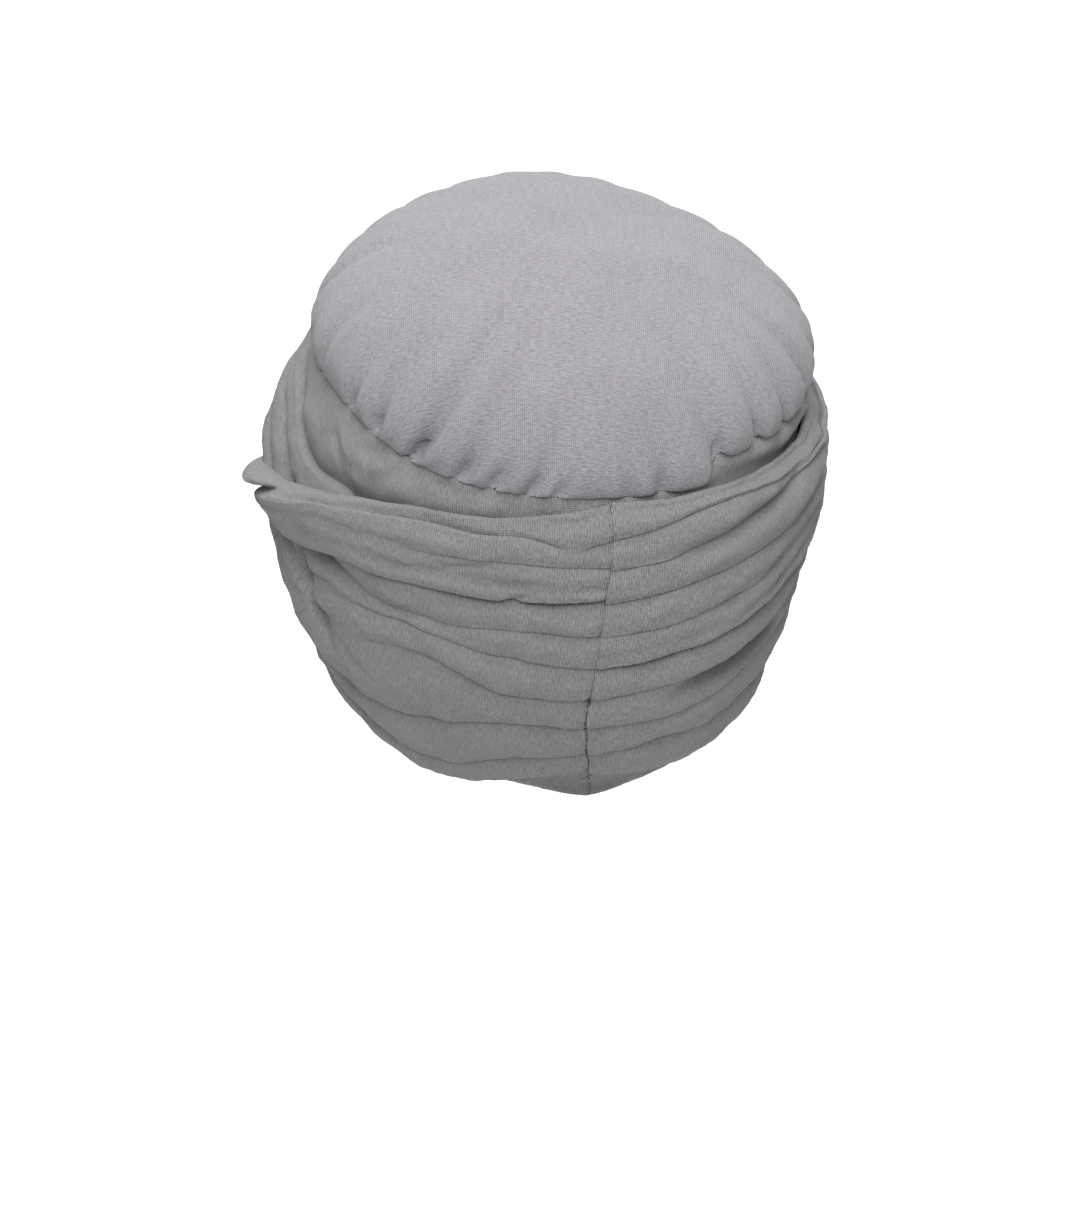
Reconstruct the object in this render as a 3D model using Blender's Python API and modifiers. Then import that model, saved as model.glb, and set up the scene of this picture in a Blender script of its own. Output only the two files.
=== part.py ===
"""Turban headwrap: a gathered crown, a plain side band and one pleated strip that is twisted
at the left side, so that its two passes cross there. Metres, +Z up.

The origin is the middle of the head opening, level with the rim at the nape. The wearer faces
+Y, so -X is the wearer's left, and angles run round the head from the back seam at -Y, to the
left side at 90 degrees, the brow at 180 and the right side at 270, back to the seam at 360.
"""
import math

import bpy
import bmesh
import numpy as np

# Driving sizes of the head form that the side band is cut to
HALF_WIDTH = 0.0870
REAR_REACH = 0.1010
FRONT_REACH = 0.1040
RING_HEIGHT = 0.1430
RING_DROP = 0.0220
BROW_RISE = 0.0740
REAR_FULLNESS = 2.0
FRONT_FULLNESS = 1.88

# Cloth walls and clearances
BAND_WALL = 0.0015
CROWN_WALL = 0.0020
SEAM_GAP = 0.0003
WRAP_GAP = 0.0010
STRIP_GAP = 0.0012

# The crown: height above its ring seam, how far it overhangs the seam, and its gathers
DOME_HEIGHT = 0.0340
POUF = 0.0035
GATHER_DEPTH = 0.0030
GATHERS = 20

# Shares of the crown's height: its rolled lower edge, and the dome above that edge
ROLL_RISE = 0.26
DOME_RISE = 0.74

# Shares of the way up the crown at which the roll is widest, the dome starts, and gathers fade
ROLL_END = 0.2
DOME_START = 0.1
GATHER_FADE = 0.22

# How fast the roll curls out of the seam, and how square-shouldered the dome is
ROLL_CURL = 1.5
SHOULDER = 0.9

# The strip: how thick the wound and pleated cloth lies, and how far a pleat steps at its edge
UNDER_THICKNESS = 0.0062
OVER_THICKNESS = 0.0062
TUCK_DEPTH = 0.0026
FOLD_ROUND = 0.0010
CROSSING_LIFT = 0.0145
LIP_TURN = math.radians(80)

# Length over which the head form's slope is measured
PROBE = 0.0005

# Edges bent by more than this are shaded sharp
SHARP_EDGE = math.radians(50)

COLUMNS = 60
BAND_ROWS = 8
DOME_ROWS = 11
INNER_ROWS = 6

# Level sections of the head form, as shares of the sizes above
FORM_COLUMNS = ("height", "width", "rear", "front")
FORM = (
    (0.00, 0.63, 0.63, 0.81),
    (0.14, 0.74, 0.75, 0.85),
    (0.28, 0.83, 0.86, 0.89),
    (0.42, 0.91, 0.94, 0.93),
    (0.56, 0.96, 0.98, 0.96),
    (0.70, 0.99, 1.00, 0.98),
    (0.85, 1.00, 1.00, 0.99),
    (1.00, 0.99, 0.98, 1.00),
    (1.20, 0.95, 0.92, 0.98),
)

# Rise of the rim from the nape to the brow, as shares of BROW_RISE
RIM_ANGLES = (0, 30, 60, 90, 120, 150, 180)
RIM = (0.00, 0.04, 0.16, 0.45, 0.73, 0.92, 1.00)

# Places round the head at which the fold tables give their shares
ANGLES = (0, 20, 40, 60, 80, 95, 115, 140, 180, 230, 270, 310, 340, 360)

# Fold edges of each pass, as shares of the way down from the ring seam to the rim
UNDER_FOLDS = {
    "top": (.325, .335, .365, .415, .400, .220, .150, .070, .030, .030, .040, .020, .015, .010),
    "first": (.40, .39, .42, .46, .45, .27, .20, .13, .10, .10, .09, .06, .07, .11),
    "second": (.50, .49, .48, .51, .50, .33, .26, .20, .17, .16, .14, .12, .16, .20),
    "third": (.60, .60, .57, .58, .57, .39, .32, .27, .24, .23, .22, .25, .27, .30),
    "fourth": (.71, .72, .77, .78, .74, .52, .38, .34, .32, .31, .31, .34, .38, .40),
    "fifth": (.81, .84, .91, .89, .82, .60, .44, .41, .39, .38, .38, .42, .45, .46),
    "sixth": (.90, .94, .98, .97, .89, .68, .48, .46, .46, .45, .45, .47, .49, .50),
}
OVER_FOLDS = {
    "top": (.015, .07, .105, .155, .27, .36, .46, .50, .485, .475, .475, .490, .510, .520),
    "first": (.11, .11, .13, .20, .31, .41, .52, .59, .60, .59, .57, .56, .57, .60),
    "second": (.19, .19, .21, .27, .37, .47, .62, .71, .73, .71, .68, .68, .71, .71),
    "third": (.25, .25, .27, .33, .44, .54, .72, .84, .86, .84, .81, .81, .80, .81),
    "fourth": (.31, .32, .345, .39, .50, .60, .82, .97, .99, .99, .99, .99, .95, .91),
}

# How thick each pass lies and swells, as shares of its thickness, and the over pass's lift
UNDER_BULK = (1.0, 1.1, 1.2, 1.3, 1.6, 1.7, 1.5, 1.2, 1.0, 1.1, 1.3, 1.1, 1.0, 1.0)
UNDER_SWELL = (0.0, 0.0, 0.3, 0.7, 1.1, 0.4, 0.0, 0.0, 0.0, 0.0, 0.0, 0.0, 0.0, 0.0)
OVER_BULK = (1.0, 1.1, 1.2, 1.2, 1.3, 1.4, 1.3, 1.1, 1.0, 1.0, 0.9, 0.9, 0.9, 1.0)
LEVEL = (0.0,) * len(ANGLES)
OVER_LIFT = (0.0, 0.0, 0.05, 0.55, 1.0, 1.0, 0.85, 0.15, 0.0, 0.0, 0.0, 0.0, 0.0, 0.0)

CLOTH = {
    "crown": (0.42, 0.41, 0.44, 1.0),
    "side_band": (0.32, 0.31, 0.32, 1.0),
    "wrap_under": (0.24, 0.23, 0.24, 1.0),
    "wrap_over": (0.27, 0.26, 0.27, 1.0),
}


def smooth_curve(x, places, values):
    """Values at x on a smooth curve through the table's points."""
    places = np.asarray(places, float)
    values = np.asarray(values, float)
    slopes = np.gradient(values, places)
    i = np.clip(np.searchsorted(places, x, side="right") - 1, 0, len(places) - 2)
    step = places[i + 1] - places[i]
    t = np.clip((x - places[i]) / step, 0.0, 1.0)
    rise = values[i] + (values[i + 1] - values[i]) * (3 * t**2 - 2 * t**3)
    return rise + step * (slopes[i] * t * (1 - t) ** 2 - slopes[i + 1] * t**2 * (1 - t))


def around(angle, table):
    """A fold table's value at an angle in radians."""
    return smooth_curve(np.degrees(angle), ANGLES, table)


def form_column(name):
    return [row[FORM_COLUMNS.index(name)] for row in FORM]


def reach(angle, z):
    """Distance of the head form from the middle line: each level is two half ovals, one at the
    rear and one at the front, which is an ellipse where its fullness is 2 and leaner below."""
    share = z / RING_HEIGHT
    heights = form_column("height")
    width = HALF_WIDTH * smooth_curve(share, heights, form_column("width"))
    rear = REAR_REACH * smooth_curve(share, heights, form_column("rear"))
    front = FRONT_REACH * smooth_curve(share, heights, form_column("front"))
    behind = np.cos(angle) > 0
    length = np.where(behind, rear, front)
    power = np.where(behind, REAR_FULLNESS, FRONT_FULLNESS)
    across = (np.abs(np.sin(angle)) / width) ** power
    along = (np.abs(np.cos(angle)) / length) ** power
    return (across + along) ** (-1.0 / power)


def ring_z(angle):
    return RING_HEIGHT - RING_DROP * np.cos(angle)


def rim_z(angle):
    turn = np.degrees(np.arccos(np.cos(angle)))
    return BROW_RISE * smooth_curve(turn, RIM_ANGLES, RIM)


def on_form(angle, share, lift):
    """Points lifted off the head form, a share of the way down from ring seam to rim."""
    z = ring_z(angle) + (rim_z(angle) - ring_z(angle)) * share
    slope = (reach(angle, z + PROBE) - reach(angle, z - PROBE)) / (2 * PROBE)
    tilt = np.sqrt(1 + slope**2)
    out = reach(angle, z) + lift / tilt
    x = -out * np.sin(angle)
    y = -out * np.cos(angle)
    return np.stack(np.broadcast_arrays(x, y, z - lift * slope / tilt), axis=-1)


def height_at(angle):
    """Length from ring seam to rim, which turns a distance into a share."""
    return ring_z(angle) - rim_z(angle)


def new_object(name, points, faces):
    """A mesh object with its own cloth material, shaded smooth but for its folded edges."""
    mesh = bpy.data.meshes.new(name)
    mesh.from_pydata(points.tolist(), [], faces)
    cloth = bpy.data.materials.new(name + "_cloth")
    cloth.use_nodes = True
    shader = cloth.node_tree.nodes["Principled BSDF"]
    shader.inputs["Base Color"].default_value = CLOTH[name]
    shader.inputs["Roughness"].default_value = 0.9
    shader.inputs["Metallic"].default_value = 0.0
    mesh.materials.append(cloth)
    mesh.shade_smooth()
    mesh.set_sharp_from_angle(angle=SHARP_EDGE)
    piece = bpy.data.objects.new(name, mesh)
    collection.objects.link(piece)
    return piece


def grid_faces(rows, columns, wrap):
    """Quads of a grid of points; wrap joins the last column to the first."""
    last = columns if wrap else columns - 1
    faces = []
    for row in range(rows - 1):
        for column in range(last):
            beside = (column + 1) % columns
            here = row * columns
            below = (row + 1) * columns
            faces.append((here + column, here + beside, below + beside, below + column))
    return faces


def outward(piece):
    """Turn the faces of a closed or open mesh the same way, pointing out."""
    cage = bmesh.new()
    cage.from_mesh(piece.data)
    bmesh.ops.recalc_face_normals(cage, faces=cage.faces)
    cage.to_mesh(piece.data)
    cage.free()


def wall(piece, thickness):
    """Give an open cloth surface its wall, inwards."""
    solid = piece.modifiers.new("wall", "SOLIDIFY")
    solid.thickness = thickness
    solid.offset = -1.0


def make_side_band():
    """The plain cap band, from the ring seam down to the rim."""
    angle = np.linspace(0, 2 * math.pi, COLUMNS, endpoint=False)
    share = np.linspace(0, 1, BAND_ROWS)[:, None]
    edge = SEAM_GAP / height_at(angle)
    points = on_form(angle, edge + (1 - edge) * share, 0.0)
    piece = new_object("side_band", points.reshape(-1, 3), grid_faces(BAND_ROWS, COLUMNS, True))
    wall(piece, BAND_WALL)
    return piece


def make_crown():
    """The puffy crown: from the ring seam it swells out over the band, then domes over.

    Each meridian is a quarter ellipse from the widest line to the top; below the widest line it
    curls back in to the seam. Gathers are waves round the seam that die out up the dome."""
    angle = np.linspace(0, 2 * math.pi, COLUMNS, endpoint=False)
    climb = np.linspace(0, 1, DOME_ROWS)[:-1, None]
    seam = reach(angle, ring_z(angle)) - BAND_WALL
    curl = np.sin(np.clip(climb / ROLL_END, 0, 1) * math.pi / 2) ** ROLL_CURL
    bend = np.clip((climb - DOME_START) / (1 - DOME_START), 0, 1) * math.pi / 2
    wave = np.abs(np.sin(angle * GATHERS / 2)) - 0.5
    fade = np.exp(-climb / GATHER_FADE)
    out = (seam + (POUF + BAND_WALL) * curl) * np.cos(bend) ** SHOULDER
    out = out + GATHER_DEPTH * wave * fade * curl
    lift = SEAM_GAP + DOME_HEIGHT * (ROLL_RISE * curl**2 + DOME_RISE * np.sin(bend))
    tilt = RING_DROP * np.cos(angle) * out / seam
    x = -out * np.sin(angle)
    y = -out * np.cos(angle)
    z = RING_HEIGHT - tilt + lift
    points = np.stack([x, y, z], axis=-1).reshape(-1, 3)
    top = np.array([[0.0, 0.0, RING_HEIGHT + SEAM_GAP + DOME_HEIGHT]])
    faces = grid_faces(DOME_ROWS - 1, COLUMNS, True)
    first = (DOME_ROWS - 2) * COLUMNS
    for column in range(COLUMNS):
        faces.append((first + column, len(points), first + (column + 1) % COLUMNS))
    piece = new_object("crown", np.vstack([points, top]), faces)
    outward(piece)
    wall(piece, CROWN_WALL)
    return piece


def pass_section(angle, folds, thickness, swell, lift, flip):
    """One cross section of a pass of the strip: its pleated face, then its plain back.

    A pleat comes out from under the edge above it, swells and ends in its own folded edge,
    below which the face steps back in by the tuck. Only the folds below the second swell in
    full. Where flip is 1 the first fold laps the other way, over the cloth above it."""
    lines = [around(angle, values) for values in folds.values()]
    fold = FOLD_ROUND / height_at(angle)
    tuck = TUCK_DEPTH * np.ones_like(angle)
    shares = []
    lifts = []
    for number in range(1, len(lines)):
        start = lines[number - 1]
        end = lines[number]
        span = np.maximum(end - start, 3 * fold)
        full = thickness + swell * np.clip((number - 2) / 2, 0, 1)
        step_in = tuck * (1 - flip) if number <= 2 else tuck
        root_lip = 0.5 * tuck * flip if number == 2 else 0.0
        edge_drop = tuck * flip if number == 1 else 0.0
        shares += [start + fold, start + 0.5 * span, end - 0.4 * fold]
        lifts += [full - step_in + root_lip, full - 0.3 * step_in, full - edge_drop]
    back = np.linspace(lines[-1] - fold, lines[0] + 2 * fold, INNER_ROWS)
    shares += list(back)
    lifts += [WRAP_GAP * np.ones_like(angle)] * INNER_ROWS
    return np.stack(shares), np.stack(lifts) + lift


def make_pass(name, folds, thickness, bulk, swell_table, lift_table, flip_span):
    """A pass of the strip from the back seam all the way round to it again: a loft through one
    section at each place round the head, with a flat end at each side of the seam. Its first
    fold's lap turns over within the flip span of the seam, if it has one."""
    half_gap = STRIP_GAP / 2 / REAR_REACH
    angle = np.linspace(half_gap, 2 * math.pi - half_gap, COLUMNS + 1)
    amount = thickness * around(angle, bulk)
    swell = thickness * np.maximum(around(angle, swell_table), 0)
    lift = CROSSING_LIFT * np.maximum(around(angle, lift_table), 0)
    flip = np.clip(1 - angle / flip_span, 0, 1) if flip_span else np.zeros_like(angle)
    shares, lifts = pass_section(angle, folds, amount, swell, lift, flip)
    points = on_form(angle, shares, lifts)
    rows = len(shares)
    count = rows * (COLUMNS + 1)
    faces = []
    for face in grid_faces(rows + 1, COLUMNS + 1, False):
        faces.append(tuple(index % count for index in face))
    faces.append(tuple(row * (COLUMNS + 1) for row in range(rows)))
    faces.append(tuple(row * (COLUMNS + 1) + COLUMNS for row in reversed(range(rows))))
    piece = new_object(name, points.reshape(-1, 3), faces)
    outward(piece)
    return piece


for old in list(bpy.data.objects):
    bpy.data.objects.remove(old, do_unlink=True)
collection = bpy.data.collections.new("turban_headwrap")
bpy.context.scene.collection.children.link(collection)

make_crown()
make_side_band()
make_pass("wrap_under", UNDER_FOLDS, UNDER_THICKNESS, UNDER_BULK, UNDER_SWELL, LEVEL, 0)
make_pass("wrap_over", OVER_FOLDS, OVER_THICKNESS, OVER_BULK, LEVEL, OVER_LIFT, LIP_TURN)
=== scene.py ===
"""Looks of the turban headwrap: gathered crown, plain band, and a twisted, pleated wrap.

Lengths are metres. Angles run round the form from the back seam (-Y) over the wearer's left
(90 degrees), the brow (180) and the right (270) back to the seam (360). A share runs down from
the crown's ring seam (0) to the rim (1).
"""

import math

import bpy
import numpy as np
from mathutils import Matrix, Vector


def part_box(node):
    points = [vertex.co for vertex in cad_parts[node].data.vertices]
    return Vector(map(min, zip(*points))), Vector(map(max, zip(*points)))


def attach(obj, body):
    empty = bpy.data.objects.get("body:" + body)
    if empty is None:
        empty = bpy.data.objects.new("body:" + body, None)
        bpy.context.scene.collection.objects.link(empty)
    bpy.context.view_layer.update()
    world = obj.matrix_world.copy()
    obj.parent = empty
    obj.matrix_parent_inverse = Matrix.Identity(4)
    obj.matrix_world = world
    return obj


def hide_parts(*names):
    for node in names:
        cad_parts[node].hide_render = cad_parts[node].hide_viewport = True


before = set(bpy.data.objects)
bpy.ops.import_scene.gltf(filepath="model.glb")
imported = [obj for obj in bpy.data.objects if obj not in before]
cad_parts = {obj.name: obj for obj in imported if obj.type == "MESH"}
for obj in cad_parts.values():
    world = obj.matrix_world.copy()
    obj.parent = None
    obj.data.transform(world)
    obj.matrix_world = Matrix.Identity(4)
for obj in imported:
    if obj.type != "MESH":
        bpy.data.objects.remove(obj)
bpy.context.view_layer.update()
band_low, band_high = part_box("side_band")

bl_info = {
    "name": "Turban headwrap",
    "version": (1, 0, 0),
    "blender": (4, 5, 0),
    "location": "3D View > Sidebar > Headwrap",
    "description": "Builds a knitted turban headwrap, piece by piece",
    "category": "Add Mesh",
}

MM = 0.001

# Radius and height that turn angles and shares into lengths of cloth
MEAN_RADIUS = 0.1
MEAN_HEIGHT = 0.12

# Level sections of the form, as shares of its sizes
FORM_HEIGHTS = (0.00, 0.14, 0.28, 0.42, 0.56, 0.70, 0.85, 1.00, 1.20)
FORM_WIDTHS = (0.63, 0.74, 0.83, 0.91, 0.96, 0.99, 1.00, 0.99, 0.95)
FORM_REARS = (0.63, 0.75, 0.86, 0.94, 0.98, 1.00, 1.00, 0.98, 0.92)
FORM_FRONTS = (0.81, 0.85, 0.89, 0.93, 0.96, 0.98, 0.99, 1.00, 0.98)
RIM_ANGLES = (0, 30, 60, 90, 120, 150, 180)
RIM = (0.00, 0.04, 0.16, 0.45, 0.73, 0.92, 1.00)

# Powers of the level ovals: behind the middle, before it, and how the latter falls near the ring
REAR_FULLNESS = 2.0
FRONT_FULLNESS = 1.88
FULLNESS_FALL = 0.08
FALL_START = 0.70
FALL_LENGTH = 0.35

# Places round the form at which the fold tables give their shares
ANGLES = (0, 20, 40, 60, 80, 95, 115, 140, 180, 230, 270, 310, 340, 360)

# Fold edges of the two passes of the strip, from the top edge down
UNDER_FOLDS = {
    "top": (.265, .278, .270, .185, .200, .110, .110, .100, .080, .120, .122, .058, .020, .010),
    "first": (.40, .39, .435, .415, .34, .21, .19, .16, .13, .15, .175, .100, .062, .11),
    "second": (.50, .475, .455, .47, .49, .31, .27, .22, .19, .20, .210, .125, .165, .20),
    "third": (.60, .59, .53, .56, .58, .42, .35, .29, .26, .26, .26, .245, .27, .30),
    "fourth": (.70, .70, .755, .79, .77, .58, .44, .36, .32, .31, .31, .325, .38, .40),
    "fifth": (.80, .83, .91, .90, .84, .64, .48, .41, .39, .37, .36, .385, .445, .46),
    "sixth": (.865, .915, .975, .97, .89, .70, .52, .46, .45, .43, .42, .435, .48, .50),
}
OVER_FOLDS = {
    "top": (.015, .07, .105, .175, .285, .360, .49, .47, .460, .430, .415, .420, .460, .480),
    "first": (.11, .115, .13, .195, .315, .405, .56, .58, .60, .59, .57, .57, .585, .60),
    "second": (.19, .185, .21, .245, .355, .445, .66, .71, .73, .71, .66, .65, .70, .70),
    "third": (.25, .25, .27, .30, .405, .485, .73, .84, .86, .84, .81, .80, .795, .805),
    "fourth": (.285, .30, .322, .348, .452, .535, .80, .97, .99, .99, .98, .95, .915, .88),
}

# How far each fold laps over the cloth below it; below 0 it laps over the cloth above
UNDER_LAPS = {
    "first": (.9, .8, .5, .9, .9, 1.8, 1.6, .9, .9, .4, -1., .0, .9, .9),
    "second": (1., 1., .8, .0, .0, 1.5, 1.5, .9, .9, .9, .9, .7, .5, .5),
    "third": (.9, .9, .4, .0, .0, 1.2, 1.3, .9, .9, .9, .9, 1., 1., .9),
    "fourth": (.9, .8, .9, 1., 1., .9, .9, .9, .9, .9, 1., 1., 1., 1.),
    "fifth": (.9, .8, .6, .6, .8, .8, .8, .7, .7, .6, .5, .2, .05, .0),
    "sixth": (1., 1., 1., 1., 1., 1., 1., 1., 1., 1., 1., 1., 1., 1.),
}
OVER_LAPS = {
    "first": (.7, -1.1, -1.2, -.6, .0, .0, .4, .9, .9, 1., 1., 1., 1., 1.),
    "second": (.8, .8, .0, .0, .0, .0, .4, .8, .9, 1., 1., .9, .9, .9),
    "third": (.0, .0, .0, .0, .0, .2, .5, .8, .9, 1., 1., .9, .8, .9),
    "fourth": (1., 1., 1., 1., 1., 1., 1., 1., 1., 1., 1., 1., 1., 1.),
}

# Kinks of single fold edges: the fold, the angle, half width in degrees, and shift in share
KINK_COLUMNS = ("fold", "angle", "width", "shift")
UNDER_KINKS = (
    ("second", 16, 2.2, -0.006),
    ("first", 38, 6.0, -0.010),
    ("third", 30, 6.0, -0.010),
)
OVER_KINKS = (
    ("first", 7, 4.5, 0.026),
    ("first", 16, 5.0, -0.006),
    ("fourth", 18, 1.8, -0.007),
)

# No heap, lift or flare anywhere
LEVEL = (0.0,) * len(ANGLES)

# Thickness of the wound cloth, heap of its lower folds, lift off the band and flare, as shares
UNDER_BULK = (1.0, 1.1, 1.1, 1.3, 1.45, 1.3, 1.3, 1.2, 1.0, 1.3, 1.7, 1.2, 1.0, 1.0)
UNDER_HEAP = (0.0, 0.1, 0.4, 0.9, 1.3, 1.5, 1.3, 0.2, 0.0, 0.0, 0.0, 0.0, 0.0, 0.0)
OVER_BULK = (1.0, 1.1, 1.2, 1.42, 1.28, 1.0, 1.0, 1.1, 1.0, 1.1, 1.1, 0.85, 0.9, 1.0)
OVER_LIFT = (0.0, 0.03, 0.12, 0.38, 0.76, 0.85, 0.30, 0.05, 0.0, 0.0, 0.0, 0.0, 0.0, 0.0)
OVER_FLARE = (0.0, 0.0, 0.0, 0.25, 0.8, 0.95, 0.1, 0.0, 0.0, 0.0, 0.0, 0.0, 0.0, 0.0)

# How far the top roll of each pass lies behind its first fold, in pleat steps
UNDER_DROP = (1.1, 1.1, 0.8, 0.4, 0.4, 0.4, 0.4, 0.4, 0.4, 0.8, 1.5, 1.2, 0.8, 0.5)
OVER_DROP = (0.4, 1.0, 1.1, 0.9, 0.2, 0.0, 0.9, 1.1, 1.1, 1.1, 1.1, 1.1, 1.1, 1.1)

# Share of the heap that each fold takes, and what the flare loses from fold to fold
HEAP_SHARES = (0, 0, 0.6, 1.0, 0.9, 0.85, 0.8)
FLARE_FADE = 0.45

# The top edge's roll: its greatest radius, how far it runs down behind, and its rows
ROLL_RADIUS = 2.6 * MM
ROLL_BACK = 5.0 * MM
ROLL_ROWS = 9

# A pleat's face: rows, how early it rises, the width at which it bulges in full, and the
# least and greatest share of that bulge
FACE_ROWS = 17
FACE_EASE = 1.6
FACE_WIDTH = 12 * MM
BULGE_LIMITS = (0.15, 1.4)

# Where the cloth turns in behind the last fold: how far above its edge, in pleat overlaps, and
# how far out, as a share of the fold's own lift
TURN_OVERLAPS = 1.2
TURN_SHARE = 0.25

# The inner face: its rows, and how far above the last fold's edge it starts, in pleat overlaps
INNER_ROWS = 6
INNER_OVERLAPS = 2.0

# Half of the slit between the two ends of a pass, and the furrow along the seam that joins them
SEAM_SLIT = 0.06 * MM
FURROW_REACH = 1.1 * MM
FURROW_DEPTH = 0.8 * MM

# How far from the back seam the folds run calm, in radians, and the drag lines and drift reach
SEAM_CALM = 0.25
DRAG_REACH = 14 * MM
DRIFT_REACH = 45 * MM

# Rows and columns of points in the crown and the band, and how closely the rows crowd at the top
CROWN_GRID = (86, 400)
CROWN_CROWDING = 1.15
BAND_GRID = (80, 360)
BAND_CROWDING = 1.25

# Columns of points in a pass, and the angles that shares of them reach round the form
PASS_COLUMNS = 540
COLUMN_SHARES = (0, 0.37, 0.70, 1)
COLUMN_ANGLES = (0, 108, 286, 360)

# Smooth unevenness: seed, wave lengths along and down the cloth, height in millimetres, waves
RIPPLE_COLUMNS = ("seed", "long_u", "long_v", "height", "waves")
RIPPLES = {
    "crown_dome": (5, 0.085, 0.085, 1.0, 26),
    "crown_fine": (6, 0.020, 0.030, 0.18, 26),
    "band_dents": (11, 0.030, 0.030, 0.5, 26),
    "band_fine": (12, 0.009, 0.016, 0.12, 26),
    "fold_edge": (0, 0.050, 1.0, 0.30, 9),
    "fold_lift": (20, 0.045, 1.0, 0.25, 9),
    "pass_sag": (40, 0.040, 0.016, 0.40, 26),
    "pass_fine": (41, 0.0085, 0.0060, 0.11, 26),
    "pass_drag": (42, 0.020, 0.0042, 0.30, 26),
}

# Swell of the band in the open place above the wrap, and the share at which it is fullest
BAND_SWELL = (0.05, 0.15, 0.40, 0.80, 1.0, 0.35, 0.05, 0.0, 0.0, 0.3, 0.6, 0.5, 0.15, 0.0)
BAND_PLACE = (.03, .05, .09, .14, .17, .08, .05, .05, .05, .06, .07, .05, .03, .03)

# How far the band lies behind the form and ends under the crown's seam, and its hem
BAND_SINK = 0.35 * MM
BAND_TUCK = 0.2 * MM
HEM_HEIGHT = 0.5 * MM
HEM_REACH = 1.5 * MM

# How far the band hangs below the rim at the nape, and how wide that place is
NAPE_DROP = 3.0 * MM
NAPE_WIDTH = 0.13

# The band's length and depth as its knit sees them
BAND_ROUND = 0.61
BAND_DEEP = 0.11

# Soft creases: from (angle, share) to (angle, share), half width and depth in millimetres
CREASE_COLUMNS = ("from_angle", "from_share", "to_angle", "to_share", "width", "depth")
BAND_CREASES = (
    (68, 0.085, 61, 0.145, 3.0, 1.5),
    (55, 0.120, 61, 0.145, 2.6, 1.0),
    (44, 0.010, 53, 0.100, 1.9, -1.5),
    (48, 0.010, 56, 0.075, 2.4, 1.3),
    (37, 0.010, 29, 0.045, 2.0, 1.1),
    (78, 0.020, 84, 0.130, 3.5, 1.2),
    (26, 0.000, 20, 0.030, 1.6, 0.8),
)

# Overhang, sag and leanness of the crown's edge round the ring
CROWN_POUF = (0.35, 0.25, 0.20, 0.20, 0.30, 0.30, 0.25, 0.25, 0.25, 0.50, 1.40, 1.20, 0.85, 0.45)
CROWN_SAG = (0.10, 0.00, 0.00, 0.00, 0.10, 0.40, 0.50, 0.50, 0.50, 0.60, 0.90, 1.30, 0.80, 0.10)
CROWN_LEAN = (0.90, 0.90, 0.92, 0.96, 1.06, 1.18, 1.36, 1.45, 1.20, 1.45, 1.26, 1.02, 0.92, 0.90)

# Soft creases of the two passes
UNDER_CREASES = (
    (76, 0.40, 74, 0.55, 3.2, 5.5),
    (75, 0.50, 65, 0.655, 3.2, 5.0),
    (85, 0.72, 79, 0.80, 1.6, 1.4),
    (68, 0.58, 48, 0.71, 2.4, 1.3),
    (43, 0.47, 37, 0.50, 1.8, 0.9),
    (347, 0.185, 306, 0.105, 3.0, 2.5),
    (340, 0.06, 326, 0.035, 1.8, 0.8),
    (335, 0.34, 300, 0.29, 2.6, 0.9),
    (322, 0.22, 296, 0.17, 2.2, -0.9),
    (10, 0.44, 34, 0.43, 2.4, 0.5),
    (30, 0.63, 12, 0.65, 3.0, 0.5),
)
OVER_CREASES = (
    (71, 0.230, 112, 0.575, 1.3, 6.0),
    (70, 0.245, 88, 0.375, 1.2, 0.6),
    (14, 0.27, 19, 0.30, 1.2, 1.4),
    (10, 0.23, 22, 0.255, 1.6, 0.9),
    (28, 0.24, 48, 0.29, 2.4, 0.8),
    (3, 0.05, 14, 0.085, 1.5, 0.9),
    (345, 0.630, 308, 0.606, 3.4, 6.5),
    (334, 0.620, 306, 0.600, 2.2, 6.0),
    (338, 0.76, 316, 0.74, 2.4, 0.8),
    (27, 0.20, 20, 0.155, 1.8, -0.8),
    (32, 0.235, 21, 0.195, 1.2, 1.5),
)

# All that sets one pass of the strip
UNDER_PASS = {
    "folds": UNDER_FOLDS,
    "laps": UNDER_LAPS,
    "kinks": UNDER_KINKS,
    "bulk": UNDER_BULK,
    "heap": UNDER_HEAP,
    "lift": LEVEL,
    "flare": LEVEL,
    "drop": UNDER_DROP,
    "creases": UNDER_CREASES,
    "seed": 100,
}
OVER_PASS = {
    "folds": OVER_FOLDS,
    "laps": OVER_LAPS,
    "kinks": OVER_KINKS,
    "bulk": OVER_BULK,
    "heap": LEVEL,
    "lift": OVER_LIFT,
    "flare": OVER_FLARE,
    "drop": OVER_DROP,
    "creases": OVER_CREASES,
    "seed": 200,
}

# The crown's rolled edge: its share of the climb, its height over the seam, its gap to the band
CROWN_EDGE = 1 / 6
CROWN_ROLL = 0.0062
CROWN_GAP = 0.2 * MM

# What is left of the overhang where a gather is tied, and of a gather's depth at the seam and as
# a dip of the dome
TIED_POUF = 0.55
SEAM_PULL = 0.25
TOP_PULL = 0.9

# Where the crown's seam steps up at the right: its start, the width of the step, and its end
RISE_START = 339.5
RISE_STEP = 5.0
RISE_END = 262.0

# Where the crown's seam swings up at the left: the middle and half width, in degrees
LEFT_RISE_ANGLE = 70.0
LEFT_RISE_WIDTH = 24.0

# A gather's groove: half width in degrees at the seam and what it gains to the top, its depth,
# and the height and width of the ridges beside it
GATHER_ROOT = 0.95
GATHER_SPREAD = 6.5
GROOVE_DEPTH = 1.3
RIDGE_HEIGHT = 0.45
RIDGE_WIDTH = 2.3

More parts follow.
